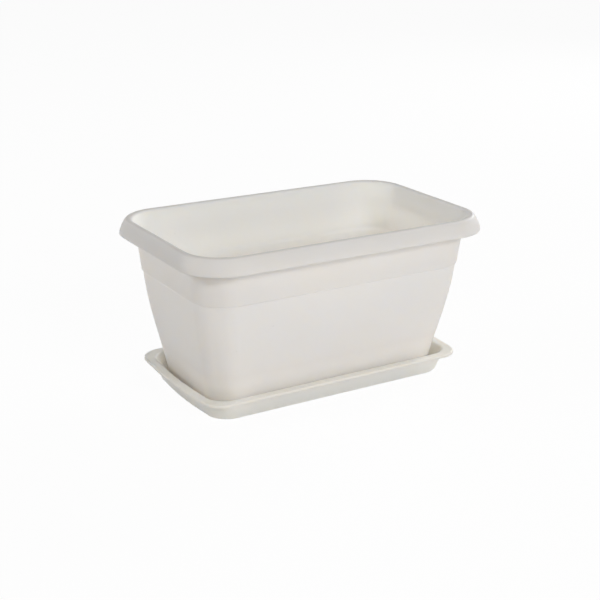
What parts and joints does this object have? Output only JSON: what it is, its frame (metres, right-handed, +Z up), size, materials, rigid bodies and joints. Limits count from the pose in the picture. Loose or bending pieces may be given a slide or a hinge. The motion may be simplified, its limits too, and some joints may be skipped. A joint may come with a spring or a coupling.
{
  "type": "planter with saucer",
  "caption": "Short rectangular balcony planter with tapered bowed walls, a collar and a down-turned rim, standing in a matching shallow drip saucer from which it lifts out.",
  "frame": {"origin": "middle of the saucer's flat underside, on the surface that it stands on", "axes": "+X along the planter's length, +Y across it towards the back, +Z up"},
  "size_m": [0.299, 0.186, 0.152],
  "materials": {
    "planter_plastic": "satin ivory polypropylene with a fine moulded grain",
    "saucer_plastic": "satin ivory polypropylene with a fine moulded grain"
  },
  "bodies": {
    "saucer": {"saucer": "saucer_plastic"},
    "planter": {"planter_box": "planter_plastic"}
  },
  "joints": [
    {"name": "planter_lift", "type": "slide", "parent": "saucer", "child": "planter", "axis": [0, 0, 1], "range_m": [0, 0.08]}
  ]
}
